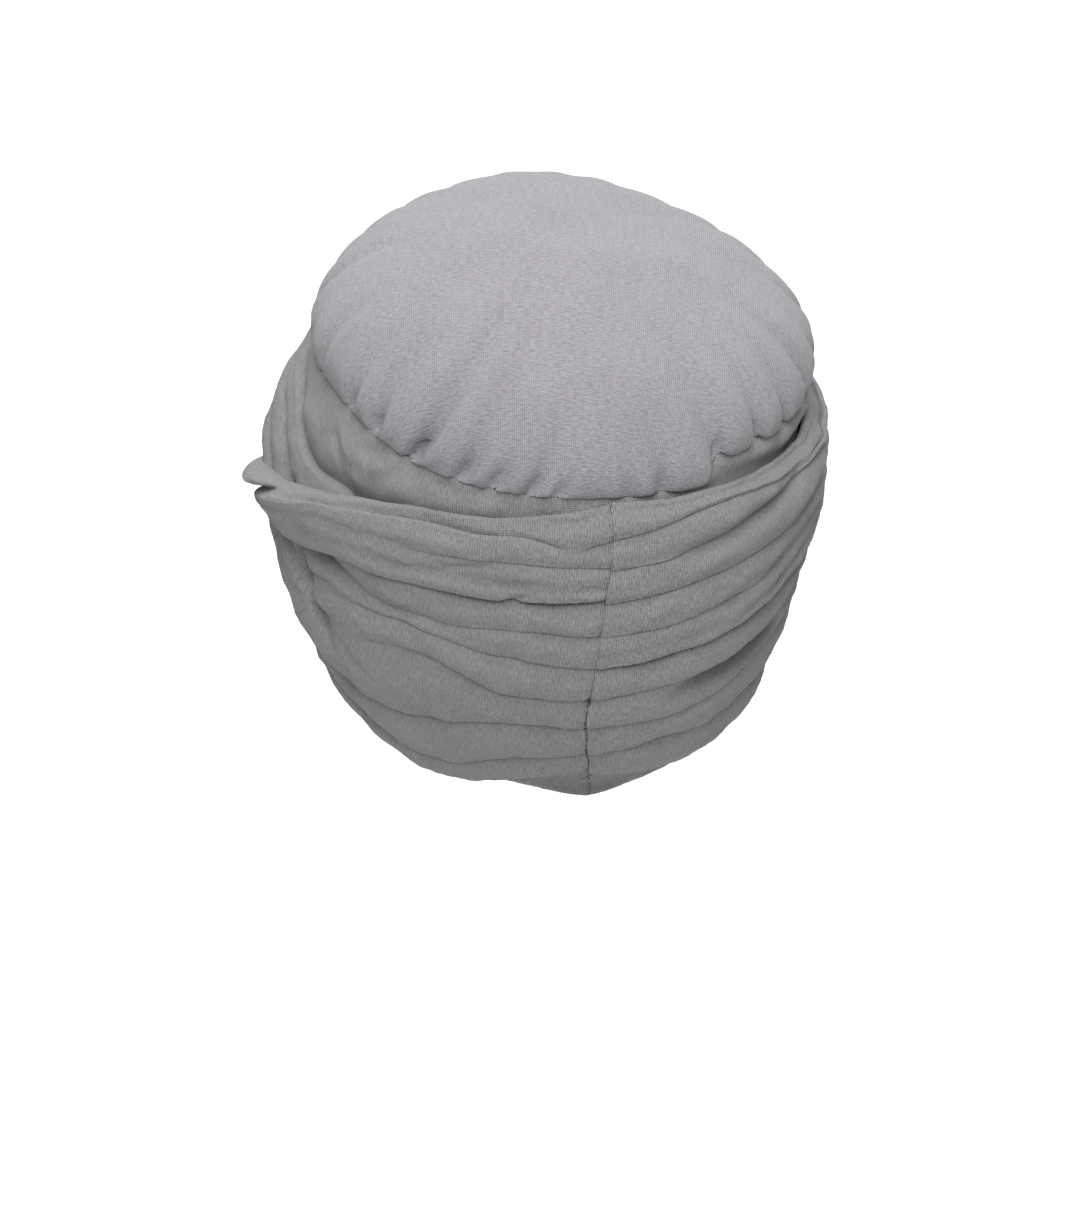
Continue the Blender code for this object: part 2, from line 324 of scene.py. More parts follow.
# How far a gather swings aside for each degree of lean, and runs up for a length of 1
GATHER_LEAN = 2.2
GATHER_RUN = 0.44

# The tie at a gather's root: half width in degrees and run up the dome
TIE_WIDTH = 2.6
TIE_RUN = 0.16

# Gathers of the crown: angle, depth and length as shares, lean in degrees
GATHER_COLUMNS = ("angle", "depth", "length", "lean")
GATHERS = (
    (10, 0.8, 0.6, -4), (16, 1.3, 0.8, -8), (23, 1.2, 0.9, -6), (31, 1.5, 1.1, -9),
    (43, 2.4, 1.1, -10), (54, 1.7, 0.7, -5), (64, 1.1, 0.7, -6), (81, 0.8, 0.8, -4),
    (93, 0.5, 0.6, 0), (105, 1.0, 0.9, 3), (118, 0.6, 0.6, 3), (131, 0.9, 0.8, 4),
    (146, 0.7, 0.8, 3), (160, 0.9, 0.7, 2), (173, 0.6, 0.8, 0), (186, 0.9, 0.7, -2),
    (199, 0.7, 0.8, -3), (213, 0.9, 0.8, -4), (228, 0.8, 0.7, -3), (242, 0.9, 0.9, -2),
    (256, 0.7, 0.7, 0), (270, 0.9, 0.8, 2), (285, 0.7, 0.6, 3), (299, 1.1, 0.9, 4),
    (313, 0.9, 0.9, 3), (324, 1.3, 0.9, 2), (336, 1.5, 1.1, 1), (349, 1.0, 0.7, 0),
    (356, 0.6, 0.5, 0),
)

# Drift of the back seam off the middle line, in degrees, by share
SEAM_SHARES = (0.0, 0.1, 0.3, 0.5, 0.65, 0.8, 0.9, 1.0)
SEAM_DRIFT = (0.0, -0.4, 0.8, 2.2, 3.4, 2.4, 0.8, -1.0)

# The back seam's thread: radius, first and last share of the stitches, their pitch and seed
THREAD_RADIUS = 0.15 * MM
STITCH_START = 0.58
STITCH_END = 1.015
STITCH_PITCH = 0.0021
STITCH_SEED = 7

# How a stitch lies: how near it looks for cloth, how deep it sinks in the wrap, how high it lies
# on the band, and how far its ends dip
STITCH_NEAR = 1.2 * MM
STITCH_SINK = 0.55 * MM
STITCH_ON_BAND = 0.5 * MM
STITCH_BOW = 0.3 * MM

# Knit of the jersey: turn of its ribs, height of the ribs and the rows of stitches, and how fine
# its slubs are along, across and through the cloth
KNIT_COLUMNS = ("turn", "rib", "row", "slubs")
CROWN_KNIT = (math.radians(12), 0.22, 0.0, (420, 1500, 900))
PLAIN_KNIT = (0.0, 0.5, 0.18, (1500, 520, 900))

# The weave: pitch of the rows in rib spacings, wander of the ribs, height of the slubs, and bump
ROW_PITCH = 0.72
RIB_DRIFT = 2.6
SLUB_HEIGHT = 1.5
BUMP_DEPTH = 0.00044

# What slubs, soft clouds and the painted shade of the ribs (crests lighter, furrows between them
# darker) add to the colour, and the tone below them
SLUB_TONE = 1.05
RIB_PAINTED_SHADE = 0.10
CLOUD_TONE = 0.16
BASE_TONE = 0.395

# Softboxes: place, aim, size in metres and power in watts
MIDDLE = (0.0, 0.0, 0.09)
LIGHT_COLUMNS = ("eye", "aim", "size", "power")
LIGHTS = {
    "overhead": ((-0.05, -0.60, 1.60), MIDDLE, 0.9, 12.2),
    "key": ((-0.30, -1.45, 1.25), MIDDLE, 0.9, 21),
    "backdrop": ((0.4, 3.2, 2.6), (0.4, 3.1, 0.0), 4.0, 190),
}

# Strength of the light from all round, and the floor's side
SKY_LIGHT = 0.19
FLOOR_SIZE = 24

# Where the camera looks from and at
VIEW_RISE = math.radians(20)
VIEW_SWING = math.radians(10)
VIEW_AIM = (-0.0053, -0.0096, 0.0466)


def length(text, default, words):
    """A size in metres"""
    return bpy.props.FloatProperty(name=text, description=words, default=default, unit="LENGTH")


def tint(text, default, words):
    """A colour"""
    return bpy.props.FloatVectorProperty(
        name=text, description=words, default=default, size=3, min=0.0, max=1.0, subtype="COLOR"
    )


class HeadFormSizes(bpy.types.PropertyGroup):
    """Sizes of the form that all pieces follow"""

    half_width: length("Half width", band_high[0], "Half width of the band at its widest")
    rear_reach: length("Rear reach", -band_low[1], "From the middle to the back of the band")
    front_reach: length("Front reach", band_high[1], "From the middle to the front of the band")
    ring_height: length("Ring height", 0.143, "Height of the ring seam's middle over the nape")
    ring_drop: length("Ring drop", 0.022, "How far the ring seam falls at the back")
    brow_rise: length("Brow rise", 0.074, "Height of the rim at the brow over the nape")


class ClothSizes(bpy.types.PropertyGroup):
    """Sizes of the cloth on the form"""

    thickness: length("Wound thickness", 0.0062, "How thick the pleated strip lies")
    step: length("Pleat step", 0.0036, "How far a pleat's edge stands over the next pleat")
    overlap: length("Pleat overlap", 0.0030, "How far a pleat's root lies above its edge")
    plump: length("Plumpness", 0.0018, "How far a pleat 12 mm wide bulges")
    gap: length("Gap", 0.0009, "Air between the band and the wrap")
    crossing_lift: length("Crossing lift", 0.0145, "Lift of the over pass at the crossing")
    flare: length("Flare", 0.0065, "How far the crossing's upper lobe stands out")
    dome_height: length("Dome height", 0.0460, "Height of the crown over its ring seam")
    pouf: length("Pouf", 0.0038, "How far the crown overhangs its ring seam")
    gather_depth: length("Gather depth", 0.0042, "Depth of the crown's deepest gathers")
    sag: length("Sag", 0.0026, "How far the crown's edge hangs below its ring seam")
    seam_rise: length("Seam rise", 0.0075, "How far the crown's seam climbs at the right")
    left_rise: length("Left seam rise", 0.0055, "How far the crown's seam climbs at the left")
    band_swell: length("Band swell", 0.0060, "How far the open band stands off the form")
    wall: length("Wall", 0.0014, "Thickness of the crown and the band")


class ClothLooks(bpy.types.PropertyGroup):
    """Colours and the fineness of the knit"""

    crown_colour: tint("Crown", (0.340, 0.328, 0.348), "Colour of the crown's jersey")
    band_colour: tint("Band", (0.350, 0.336, 0.350), "Colour of the band's jersey")
    wrap_colour: tint("Wrap", (0.335, 0.322, 0.334), "Colour of the wrap's jersey")
    thread_colour: tint("Thread", (0.060, 0.065, 0.085), "Colour of the sewing thread")
    floor_colour: tint("Floor", (0.93, 0.93, 0.93), "Colour of the floor")
    wale: length("Wale spacing", 0.00078, "Distance between the knit's ribs")


class StageSizes(bpy.types.PropertyGroup):
    """Sizes of the floor and the camera"""

    distance: length("Camera distance", 1.55, "From the aim to the camera")
    floor_drop: length("Floor drop", 0.60, "How far the floor lies below the nape")
    lens: bpy.props.FloatProperty(name="Lens", description="Focal length in mm", default=125.0)


def form():
    """The form's sizes"""
    return bpy.context.scene.headwrap_form


def cloth():
    """The cloth's sizes"""
    return bpy.context.scene.headwrap_cloth


def looks():
    """The cloth's looks"""
    return bpy.context.scene.headwrap_looks


def smooth_curve(x, places, values):
    """A smooth curve through the table's points: cubic pieces whose slopes are those of the
    straight lines between the neighbouring points."""
    places = np.asarray(places, float)
    values = np.asarray(values, float)
    slopes = np.gradient(values, places)
    i = np.clip(np.searchsorted(places, x, side="right") - 1, 0, len(places) - 2)
    step = places[i + 1] - places[i]
    t = np.clip((x - places[i]) / step, 0.0, 1.0)
    rise = values[i] + (values[i + 1] - values[i]) * (3 * t**2 - 2 * t**3)
    return rise + step * (slopes[i] * t * (1 - t) ** 2 - slopes[i + 1] * t**2 * (1 - t))


def around(angle, table):
    """A table's value at an angle round the form"""
    return smooth_curve(np.degrees(angle), ANGLES, table)


def reach(angle, z):
    """Distance from the middle line: each level is an ellipse behind the middle and a leaner
    oval before it, their half axes read from the form's tables at that height."""
    share = z / form().ring_height
    width = form().half_width * smooth_curve(share, FORM_HEIGHTS, FORM_WIDTHS)
    rear = form().rear_reach * smooth_curve(share, FORM_HEIGHTS, FORM_REARS)
    front = form().front_reach * smooth_curve(share, FORM_HEIGHTS, FORM_FRONTS)
    behind = np.cos(angle) > 0
    high = np.clip((share - FALL_START) / FALL_LENGTH, 0, 1)
    fall = FULLNESS_FALL * high**2 * (3 - 2 * high)
    power = np.where(behind, REAR_FULLNESS, FRONT_FULLNESS - fall)
    across = (np.abs(np.sin(angle)) / width) ** power
    along = (np.abs(np.cos(angle)) / np.where(behind, rear, front)) ** power
    return (across + along) ** (-1.0 / power)


def ring_z(angle):
    """Height of the crown's ring seam"""
    return form().ring_height - form().ring_drop * np.cos(angle)


def rim_z(angle):
    """Height of the rim, the same on both sides"""
    turn = np.degrees(np.arccos(np.clip(np.cos(angle), -1, 1)))
    return form().brow_rise * smooth_curve(turn, RIM_ANGLES, RIM)


def on_form(angle, down, lift):
    """Points a distance down from the ring seam, lifted along the form's own slope."""
    probe = 0.5 * MM
    z = ring_z(angle) - down
    slope = (reach(angle, z + probe) - reach(angle, z - probe)) / (2 * probe)
    tilt = np.sqrt(1 + slope**2)
    out = reach(angle, z) + lift / tilt
    x = -out * np.sin(angle)
    y = -out * np.cos(angle)
    return np.stack(np.broadcast_arrays(x, y, z - lift * slope / tilt), axis=-1)


def ripple(kind, u, v, seed=0):
    """Smooth seeded unevenness, in metres: a sum of waves whose lengths along u and v spread
    round those of its row in the table."""
    row = dict(zip(RIPPLE_COLUMNS, RIPPLES[kind]))
    pick = np.random.default_rng(seed + row["seed"])
    total = np.zeros(np.broadcast(u, v).shape)
    for _ in range(row["waves"]):
        across = pick.normal() / row["long_u"]
        along = pick.normal() / row["long_v"]
        total += np.sin(2 * math.pi * (u * across + v * along) + pick.uniform(0, 2 * math.pi))
    return total / math.sqrt(row["waves"]) * row["height"] * MM


def crease_depth(angle, share, creases):
    """Depth of all soft creases: each is a rounded furrow along a line between two places,
    deepest at its middle and dying out at its ends."""
    x = angle * MEAN_RADIUS
    y = share * MEAN_HEIGHT
    depth = np.zeros(np.broadcast(x, y).shape)
    for row in creases:
        cut = dict(zip(CREASE_COLUMNS, row))
        turns = np.radians([cut["from_angle"], cut["to_angle"]]) * MEAN_RADIUS
        downs = np.array([cut["from_share"], cut["to_share"]]) * MEAN_HEIGHT
        run_x, run_y = np.diff(turns)[0], np.diff(downs)[0]
        along = ((x - turns[0]) * run_x + (y - downs[0]) * run_y) / (run_x**2 + run_y**2)
        near = np.clip(along, 0, 1)
        off = np.hypot(x - turns[0] - near * run_x, y - downs[0] - near * run_y)
        taper = np.clip(1.15 - (2 * near - 1) ** 2, 0, 1)
        depth += cut["depth"] * MM * taper * np.exp(-((off / (cut["width"] * MM)) ** 2))
    return depth


def new_piece(name, points, faces, corners, material):
    """A mesh object from points and faces, with a UV map in metres of cloth."""
    mesh = bpy.data.meshes.new(name)
    mesh.from_pydata(points.reshape(-1, 3).tolist(), [], faces)
    layer = mesh.uv_layers.new(name="cloth")
    layer.data.foreach_set("uv", np.asarray(corners, np.float32).ravel())
    mesh.materials.append(material)
    mesh.shade_smooth()
    mesh.validate()
    piece = bpy.data.objects.new(name, mesh)
    bpy.context.scene.collection.objects.link(piece)
    return piece


def cloth_grid(rows, columns, close_rows, close_columns):
    """Corner indices of a grid's quads, each facing out, and of its places on the cloth, which
    run on past a closed edge."""
    row_count = rows if close_rows else rows - 1
    column_count = columns if close_columns else columns - 1
    row, column = np.meshgrid(np.arange(row_count), np.arange(column_count), indexing="ij")
    corner_rows = np.stack([row, row, row + 1, row + 1], axis=-1).reshape(-1, 4)
    corner_columns = np.stack([column, column + 1, column + 1, column], axis=-1).reshape(-1, 4)
    faces = (corner_rows % rows) * columns + corner_columns % columns
    return faces, corner_rows, corner_columns


def step_lengths(points, axis):
    """Distance run along an axis of a grid of points, with the closing step at the end."""
    beside = np.roll(points, -1, axis=axis)
    steps = np.linalg.norm(beside - points, axis=-1)
    run = np.cumsum(steps, axis=axis)
    return np.concatenate([np.zeros_like(np.take(run, [0], axis=axis)), run], axis=axis)


def jersey(name, colour, knit):
    """Cotton jersey: fine ribs along the cloth, cut up by the rows of stitches, with slubs, a
    faint melange of lighter and darker yarn, and soft fuzz at grazing angles. The ribs also carry
    painted shade: their crests are painted lighter and the furrows between them darker."""
    knit = dict(zip(KNIT_COLUMNS, knit))
    material = bpy.data.materials.new(name)
    material.use_nodes = True
    nodes = material.node_tree.nodes
    links = material.node_tree.links
    shader = nodes["Principled BSDF"]
    shader.inputs["Roughness"].default_value = 0.92
    shader.inputs["Specular IOR Level"].default_value = 0.25
    shader.inputs["Sheen Weight"].default_value = 0.18
    shader.inputs["Sheen Roughness"].default_value = 0.45
    place = nodes.new("ShaderNodeTexCoord")
    mapping = nodes.new("ShaderNodeMapping")
    mapping.inputs["Rotation"].default_value = (0, 0, knit["turn"])
    links.new(place.outputs["UV"], mapping.inputs["Vector"])

    def math_node(kind, first, second):
        node = nodes.new("ShaderNodeMath")
        node.operation = kind
        for socket, value in zip(node.inputs, (first, second)):
            if isinstance(value, (int, float)):
                socket.default_value = value
            else:
                links.new(value, socket)
        return node.outputs[0]

    def noise(scale, detail, stretch):
        spread = nodes.new("ShaderNodeVectorMath")
        spread.operation = "MULTIPLY"
        spread.inputs[1].default_value = stretch
        links.new(mapping.outputs[0], spread.inputs[0])
        node = nodes.new("ShaderNodeTexNoise")
        node.inputs["Scale"].default_value = scale
        node.inputs["Detail"].default_value = detail
        links.new(spread.outputs[0], node.inputs["Vector"])
        return node.outputs["Fac"]

    parts = nodes.new("ShaderNodeSeparateXYZ")
    links.new(mapping.outputs[0], parts.inputs[0])
    drift = math_node("MULTIPLY", noise(160, 2, (1, 0.35, 1)), RIB_DRIFT)
    ribs = math_node("MULTIPLY", parts.outputs[0], 2 * math.pi / looks().wale)
    ribs = math_node("SINE", math_node("ADD", ribs, drift), 0)
    rows = math_node("MULTIPLY", parts.outputs[1], 2 * math.pi / (ROW_PITCH * looks().wale))
    rows = math_node("SINE", rows, 0)
    slub = noise(1, 3, knit["slubs"])
    weave = math_node("MULTIPLY", ribs, knit["rib"])
    weave = math_node("ADD", weave, math_node("MULTIPLY", rows, knit["row"]))
    weave = math_node("ADD", weave, math_node("MULTIPLY", slub, SLUB_HEIGHT))

    bump = nodes.new("ShaderNodeBump")
    bump.inputs["Strength"].default_value = 0.9
    bump.inputs["Distance"].default_value = BUMP_DEPTH
    links.new(weave, bump.inputs["Height"])
    links.new(bump.outputs[0], shader.inputs["Normal"])

    shade = math_node("MULTIPLY", slub, SLUB_TONE)
    # painted shade of the ribs: crests painted lighter, the furrows between them darker
    shade = math_node("ADD", shade, math_node("MULTIPLY", ribs, RIB_PAINTED_SHADE))
    shade = math_node("ADD", shade, math_node("MULTIPLY", noise(38, 3, (1, 1, 1)), CLOUD_TONE))
    shade = math_node("ADD", shade, BASE_TONE)
    tone = nodes.new("ShaderNodeVectorMath")
    tone.operation = "SCALE"
    tone.inputs[0].default_value = tuple(colour)
    links.new(shade, tone.inputs["Scale"])
    links.new(tone.outputs[0], shader.inputs["Base Color"])
    return material


def seam_rise(turn):
    """How far the crown's seam climbs above the ring: at the wearer's right a quick step up near
    the back that dies out along the side, and at the left a wide bell."""
    before = np.clip((RISE_START - turn) / RISE_STEP, 0, 1)
    after = np.clip((turn - RISE_END) / (RISE_START - RISE_END), 0, 1)
    right = before**2 * (3 - 2 * before) * after**2 * (3 - 2 * after)
    left = np.exp(-(((turn - LEFT_RISE_ANGLE) / LEFT_RISE_WIDTH) ** 2))
    return cloth().seam_rise * right + cloth().left_rise * left


def gathers(turn, climb):
    """Depth of the crown's gathers: each is a furrow with a soft ridge on both sides that starts
    narrow at the seam, leans, widens and dies out up the dome. The second value is the tightness
    of the tie at the seam itself."""
    furrow = np.zeros(np.broadcast(turn, climb).shape)
    tie = np.zeros_like(furrow)
    width = GATHER_ROOT + GATHER_SPREAD * climb
    for row in GATHERS:
        fold = dict(zip(GATHER_COLUMNS, row))
        off = turn - fold["angle"] - GATHER_LEAN * fold["lean"] * climb
        off = (off + 180) % 360 - 180
        fade = np.exp(-((climb / (GATHER_RUN * fold["length"])) ** 1.8))
        groove = GROOVE_DEPTH * np.exp(-((off / width) ** 2))
        ridge = RIDGE_HEIGHT * np.exp(-((off / width / RIDGE_WIDTH) ** 2))
        furrow += fold["depth"] * fade * (groove - ridge)
        knot = np.exp(-((off / TIE_WIDTH) ** 2)) * np.exp(-((climb / TIE_RUN) ** 2))
        tie += fold["depth"] * knot
    return furrow, tie


def crown_points(angle, climb):
    """The crown's surface: angle round the form, climb from the seam (0) to the top (1).

    The first sixth is the rolled lower edge: it leaves the seam, sags a little below it and
    swells out to the widest line. From there a quarter oval, leaner towards the brow, rises to
    the top. The gathers pull the cloth in between the puffs."""
    sizes = cloth()
    rise_up = seam_rise(np.degrees(angle))
    seam = reach(angle, ring_z(angle) + rise_up)
    furrow, tie = gathers(np.degrees(angle), climb)
    puff = np.clip(1 - tie, -0.2, 1)
    roll = np.clip(climb / CROWN_EDGE, 0, 1) * math.pi / 2
    rise = np.clip((climb - CROWN_EDGE) / (1 - CROWN_EDGE), 0, 1) * math.pi / 2
    sag = sizes.sag * around(angle, CROWN_SAG) * puff
    widest = sizes.pouf * around(angle, CROWN_POUF) * (TIED_POUF + (1 - TIED_POUF) * puff)
    out = (seam + CROWN_GAP + widest * np.sin(roll)) * np.cos(rise) ** around(angle, CROWN_LEAN)
    dome = sizes.dome_height - CROWN_ROLL - rise_up
    lift = CROWN_ROLL - (CROWN_ROLL + sag) * np.cos(roll) + dome * np.sin(rise) ** 1.05 + rise_up
    pull = sizes.gather_depth * furrow
    out = out - pull * np.cos(rise) * (SEAM_PULL + (1 - SEAM_PULL) * np.sin(roll))
    lift = lift - TOP_PULL * pull * np.sin(rise) ** 0.5
    x = -out * np.sin(angle)
    y = -out * np.cos(angle)
    lift = lift + ripple("crown_dome", x, y) * np.sin(rise)
    lift = lift + ripple("crown_fine", x, y) * np.sin(rise) ** 0.6
    z = form().ring_height - form().ring_drop * np.cos(angle) * out / seam + lift
    return np.stack(np.broadcast_arrays(x, y, z), axis=-1)


def make_crown():
    """The crown: rings of points from the top down and a fan that closes the top. Its places on
    the cloth are laid out flat, by angle and by the run from the top."""
    rows, columns = CROWN_GRID
    angle = np.linspace(0, 2 * math.pi, columns, endpoint=False)[None, :]
    climb = (np.linspace(0, 1, rows) ** CROWN_CROWDING)[:-1, None]
    points = crown_points(angle, climb)[::-1]
    rows = len(points)
    faces, corner_rows, corner_columns = cloth_grid(rows, columns, False, True)
    top = points[0].mean(axis=0)
    from_top = np.hypot(points[0, :, 0] - top[0], points[0, :, 1] - top[1])
    run = from_top + step_lengths(points, 0)[:rows]
    flat = np.stack([-run * np.sin(angle), -run * np.cos(angle)], axis=-1)
    corners = flat[corner_rows, corner_columns % columns]
    fan = [(rows * columns, (i + 1) % columns, i) for i in range(columns)]
    middle = np.zeros((columns, 2))
    fan_corners = np.stack([middle, np.roll(flat[0], -1, 0), flat[0]], axis=1)
    corners = np.concatenate([corners.reshape(-1, 2), fan_corners.reshape(-1, 2)])
    everything = np.vstack([points.reshape(-1, 3), top[None]])
    material = jersey("crown_jersey", looks().crown_colour, CROWN_KNIT)
    piece = new_piece("crown_cloth", everything, faces.tolist() + fan, corners, material)
    give_wall(piece, cloth().wall)
    return piece


def give_wall(piece, thickness):
    """Thickens a surface inwards"""
    solid = piece.modifiers.new("wall", "SOLIDIFY")
    solid.thickness = thickness
    solid.offset = -1.0


def make_band():
    """The band follows the form. Where it lies open above the wrap it swells out to meet the
    wrap, with soft dents and drag lines that hang from the crown's gathers."""
    rows, columns = BAND_GRID
    angle = np.linspace(0, 2 * math.pi, columns, endpoint=False)[None, :]
    share = (np.linspace(0, 1, rows) ** BAND_CROWDING)[:, None]
    nape = NAPE_DROP * np.exp(-((np.sin(angle / 2) / NAPE_WIDTH) ** 2))
    height = ring_z(angle) - rim_z(angle) + nape
    place = around(angle, BAND_PLACE)
    bell = np.sin(np.pi * np.clip(share / (2 * place), 0, 1)) ** 1.4
    swell = np.maximum(around(angle, BAND_SWELL), 0) * cloth().band_swell * bell
    u, v = angle * MEAN_RADIUS, share * MEAN_HEIGHT
    shape = swell + ripple("band_dents", u, v) * bell + ripple("band_fine", u, v)
    shape = shape - crease_depth(angle, share, BAND_CREASES)
    hem = HEM_HEIGHT * np.exp(-(((share - 1) * height / HEM_REACH) ** 2))
    top = seam_rise(np.degrees(angle)) - BAND_TUCK
    points = on_form(angle, share * (height + top) - top, shape - BAND_SINK + hem)
    faces, corner_rows, corner_columns = cloth_grid(rows, columns, False, True)
    u = corner_columns * (BAND_ROUND / columns)
    v = share[corner_rows, 0] * BAND_DEEP
    corners = np.stack([u, v], axis=-1)
    material = jersey("band_jersey", looks().band_colour, PLAIN_KNIT)
    piece = new_piece("band_cloth", points, faces.tolist(), corners, material)
    give_wall(piece, cloth().wall)
    return piece


# The folded edge of a pleat, from its face round the lip to the root of the next pleat:
# how far down and how far in each point lies, as shares of the overlap and of the step
LIP_DOWN = np.array([-0.42, -0.20, -0.05, 0.00, -0.05, -0.22, -0.55, -1.00])
LIP_IN = np.array([0.00, 0.04, 0.16, 0.32, 0.48, 0.60, 0.76, 1.00])


def lap_joint(edge, lift, lap):
    """Rows of points round one fold edge. A lap above 0 is a lip that hangs over the cloth
    below, one below 0 is its mirror image, and at 0 the rows lie flat with a slight furrow."""
    sizes = cloth()
    size = np.abs(lap)
    level = np.clip(1 - size, 0, 1) ** 2
    spread = np.linspace(-0.9, 0.9, len(LIP_DOWN)) * MM
    downs = []
    ins = []
    for j in range(len(LIP_DOWN)):
        mirror = len(LIP_DOWN) - 1 - j
        down = np.where(lap >= 0, LIP_DOWN[j], -LIP_DOWN[mirror])
        inward = np.where(lap >= 0, LIP_IN[j], LIP_IN[mirror])
        downs.append(edge + sizes.overlap * down * size + spread[j] * level)
        ins.append(lift - sizes.step * inward * size)
    return downs, ins


def kink(angle, name, kinks):
    """Shift of one fold edge, as a share: each kink is a bell round its place."""
    shift = 0 * angle
    for row in kinks:
        bend = dict(zip(KINK_COLUMNS, row))
        if bend["fold"] == name:
            off = (np.degrees(angle) - bend["angle"]) / bend["width"]
            shift = shift + bend["shift"] * np.exp(-(off**2))
    return shift


def pass_sections(angle, strip):
    """Rows of (down, lift) of one pass of the strip, as a closed loop: up over the rolled top
    edge, down the pleated face, round the last fold, and back up the plain inner face.

    Each pleat's face leaves the root behind the fold above, rises quickly, bulges and runs
    nearly level to its own fold edge."""
    sizes = cloth()
    folds = strip["folds"]
    height = ring_z(angle) - rim_z(angle)
    calm = np.clip(np.minimum(angle, 2 * math.pi - angle) / SEAM_CALM, 0, 1)
    inner = sizes.gap + sizes.crossing_lift * np.maximum(around(angle, strip["lift"]), 0)
    full = sizes.thickness * around(angle, strip["bulk"])
    heap = sizes.thickness * np.maximum(around(angle, strip["heap"]), 0)
    flare = sizes.flare * np.maximum(around(angle, strip["flare"]), 0)
    arc = angle * MEAN_RADIUS
    edges = []
    lifts = []
    for number, name in enumerate(folds):
        seed = strip["seed"] + number
        share = around(angle, folds[name]) + kink(angle, name, strip["kinks"])
        edges.append(share * height + ripple("fold_edge", arc, 0 * arc, seed) * calm)
        spread = 1 - FLARE_FADE * max(number - 1, 0)
        lift = inner + full + heap * HEAP_SHARES[number] + flare * spread
        lifts.append(lift + ripple("fold_lift", arc, 0 * arc, seed))
    half = (lifts[0] - sizes.step * around(angle, strip["drop"]) - inner) / 2
    radius = np.minimum(half, ROLL_RADIUS)
    downs = [edges[0] + ROLL_BACK]
    outs = [inner]
    for turn in np.linspace(0, math.pi, ROLL_ROWS):
        downs.append(edges[0] + radius * (1 - math.sin(turn)))
        outs.append(inner + half * (1 - math.cos(turn)))
    for edge, lift, name in list(zip(edges, lifts, folds))[1:]:
        joint_downs, joint_outs = lap_joint(edge, lift, around(angle, strip["laps"][name]))
        from_down, from_out = downs[-1], outs[-1]
        run, climb = joint_downs[0] - from_down, joint_outs[0] - from_out
        bulge = np.clip(run / FACE_WIDTH, *BULGE_LIMITS) * sizes.plump
        for q in np.linspace(0, 1, FACE_ROWS + 2)[1:-1]:
            ease = 1 - (1 - q) ** FACE_EASE
            downs.append(from_down + run * q)
            outs.append(from_out + climb * ease + bulge * math.sin(math.pi * q))
        downs += joint_downs
        outs += joint_outs
    downs.append(edges[-1] - TURN_OVERLAPS * sizes.overlap)
    outs.append(inner + TURN_SHARE * (outs[-1] - inner))
    first_inner = len(downs)
    low_edge = edges[-1] - INNER_OVERLAPS * sizes.overlap
    high_edge = edges[0] + ROLL_BACK + 1.0 * MM
    for q in np.linspace(0, 1, INNER_ROWS + 1)[:-1]:
        downs.append(low_edge + (high_edge - low_edge) * q)
        outs.append(inner)
    return np.stack(downs), np.stack(outs), first_inner, height


def pass_columns(count):
    """Angles round the form, closer together at the back, where the folds are finest."""
    slit = SEAM_SLIT / form().rear_reach
    places = np.interp(np.linspace(0, 1, count), COLUMN_SHARES, np.radians(COLUMN_ANGLES))
    return np.clip(places, slit, 2 * math.pi - slit)


def make_pass(name, strip):
    """One pass as a closed tube: its sections run round the form from one side of the back seam
    to the other, with unevenness, the seam's furrow and the soft creases on the outside alone,
    and are capped at both ends."""
    angle = pass_columns(PASS_COLUMNS)
    downs, outs, first_inner, height = pass_sections(angle, strip)
    rows, columns = downs.shape
    share = downs / height
    arc = angle * MEAN_RADIUS
    outer = (np.arange(rows) < first_inner)[:, None]
    seam = np.minimum(angle, 2 * math.pi - angle) * MEAN_RADIUS
    sag = ripple("pass_sag", arc, downs, strip["seed"])
    fine = ripple("pass_fine", arc, downs, strip["seed"])
    drag = ripple("pass_drag", arc, downs, strip["seed"]) * np.exp(-seam / DRAG_REACH)
    furrow = FURROW_DEPTH * np.exp(-((seam / FURROW_REACH) ** 2))
    shape = sag + fine + drag - furrow - crease_depth(angle, share, strip["creases"])
    lift = np.where(outer, np.maximum(outs + shape, outs.min(axis=0)), outs)
    drift = np.radians(smooth_curve(share, SEAM_SHARES, SEAM_DRIFT))
    swing = drift * np.exp(-((seam / DRIFT_REACH) ** 2))
    points = on_form(angle + swing, downs, lift)
    faces, corner_rows, corner_columns = cloth_grid(rows, columns, True, False)
    u = (arc - arc[0])[corner_columns]
    v = step_lengths(points, 0)[corner_rows, corner_columns]
    caps = [
        tuple(row * columns for row in range(rows)),
        tuple(row * columns + columns - 1 for row in reversed(range(rows))),
    ]
    corners = np.stack([u, v], axis=-1).reshape(-1, 2)
    corners = np.concatenate([corners, np.zeros((2 * rows, 2))])
    material = bpy.data.materials.get("pleated_jersey")
    if material is None:
        material = jersey("pleated_jersey", looks().wrap_colour, PLAIN_KNIT)
    return new_piece(name, points, faces.tolist() + caps, corners, material)


